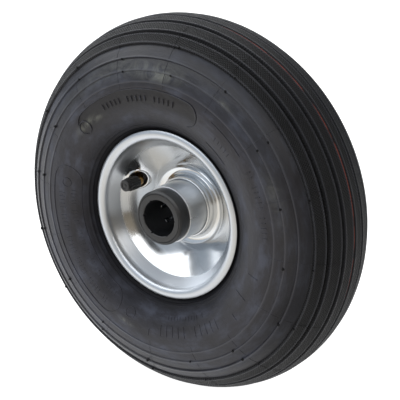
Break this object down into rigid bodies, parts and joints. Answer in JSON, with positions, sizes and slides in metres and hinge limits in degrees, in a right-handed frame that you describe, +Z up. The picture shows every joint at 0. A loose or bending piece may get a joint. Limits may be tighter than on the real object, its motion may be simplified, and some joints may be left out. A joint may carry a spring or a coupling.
{
  "type": "pneumatic hand truck wheel",
  "caption": "Air-filled wheel with a ribbed tyre, a pressed steel rim, a tube hub with a roller bearing and plastic end bushes, and a capped valve.",
  "frame": {"origin": "middle of the axle bore, at the wheel's centre", "axes": "+Y along the axle, away from the valve side; +Z up"},
  "size_m": [0.26, 0.083, 0.26],
  "materials": {
    "tyre_rubber": "matt moulded rubber",
    "bead_steel": "bronze-washed wire",
    "butyl_rubber": "matt",
    "zinc_plated_steel": "bright zinc plate, satin on the lip",
    "black_nylon": "satin moulded",
    "brass": "turned",
    "seal_rubber": "matt",
    "bright_steel": "ground",
    "black_polythene": "satin moulded"
  },
  "bodies": {
    "wheel": {"tyre": "tyre_rubber", "bead_wire_front": "bead_steel", "bead_wire_rear": "bead_steel", "inner_tube": "butyl_rubber", "rim_front": "zinc_plated_steel", "rim_rear": "zinc_plated_steel", "hub_tube": "zinc_plated_steel", "end_bush_front": "black_nylon", "end_bush_rear": "black_nylon", "valve_foot": "butyl_rubber", "valve_stem": "brass", "valve_core_body": "brass", "valve_core_gasket": "seal_rubber", "valve_core_spring": "bright_steel"},
    "cage": {"bearing_cage": "black_nylon"},
    "valve_pin": {"valve_core_pin": "brass", "valve_core_seal": "seal_rubber"},
    "cap": {"valve_cap": "black_polythene", "valve_cap_seal": "seal_rubber"},
    "roller_1": {"roller_1": "bright_steel"},
    "roller_2": {"roller_2": "bright_steel"},
    "roller_3": {"roller_3": "bright_steel"},
    "roller_4": {"roller_4": "bright_steel"},
    "roller_5": {"roller_5": "bright_steel"},
    "roller_6": {"roller_6": "bright_steel"},
    "roller_7": {"roller_7": "bright_steel"},
    "roller_8": {"roller_8": "bright_steel"}
  },
  "joints": [
    {"name": "cage_spin", "type": "hinge", "parent": "wheel", "child": "cage", "pos_m": [0, 0, 0], "axis": [0, 1, 0], "continuous": true},
    {"name": "cap_lift", "type": "slide", "parent": "wheel", "child": "cap", "axis": [-0.0566, -0.9981, 0.0229], "range_m": [0, 0.016]},
    {"name": "valve_pin_press", "type": "slide", "parent": "wheel", "child": "valve_pin", "axis": [0.0566, 0.9981, -0.0229], "range_m": [0, 0.0012], "stiffness_N_per_m": 150, "springref_m": -0.002, "deforming": ["valve_core_spring"]},
    {"name": "roller_1_spin", "type": "hinge", "parent": "cage", "child": "roller_1", "pos_m": [0.015, 0, 0], "axis": [0, 1, 0], "continuous": true},
    {"name": "roller_2_spin", "type": "hinge", "parent": "cage", "child": "roller_2", "pos_m": [0.01061, 0, 0.01061], "axis": [0, 1, 0], "continuous": true},
    {"name": "roller_3_spin", "type": "hinge", "parent": "cage", "child": "roller_3", "pos_m": [0, 0, 0.015], "axis": [0, 1, 0], "continuous": true},
    {"name": "roller_4_spin", "type": "hinge", "parent": "cage", "child": "roller_4", "pos_m": [-0.01061, 0, 0.01061], "axis": [0, 1, 0], "continuous": true},
    {"name": "roller_5_spin", "type": "hinge", "parent": "cage", "child": "roller_5", "pos_m": [-0.015, 0, 0], "axis": [0, 1, 0], "continuous": true},
    {"name": "roller_6_spin", "type": "hinge", "parent": "cage", "child": "roller_6", "pos_m": [-0.01061, 0, -0.01061], "axis": [0, 1, 0], "continuous": true},
    {"name": "roller_7_spin", "type": "hinge", "parent": "cage", "child": "roller_7", "pos_m": [0, 0, -0.015], "axis": [0, 1, 0], "continuous": true},
    {"name": "roller_8_spin", "type": "hinge", "parent": "cage", "child": "roller_8", "pos_m": [0.01061, 0, -0.01061], "axis": [0, 1, 0], "continuous": true}
  ],
  "couplings": [
    {"joint": "roller_1_spin", "follows": "cage_spin", "ratio": -7.0565},
    {"joint": "roller_2_spin", "follows": "cage_spin", "ratio": -7.0565},
    {"joint": "roller_3_spin", "follows": "cage_spin", "ratio": -7.0565},
    {"joint": "roller_4_spin", "follows": "cage_spin", "ratio": -7.0565},
    {"joint": "roller_5_spin", "follows": "cage_spin", "ratio": -7.0565},
    {"joint": "roller_6_spin", "follows": "cage_spin", "ratio": -7.0565},
    {"joint": "roller_7_spin", "follows": "cage_spin", "ratio": -7.0565},
    {"joint": "roller_8_spin", "follows": "cage_spin", "ratio": -7.0565}
  ]
}
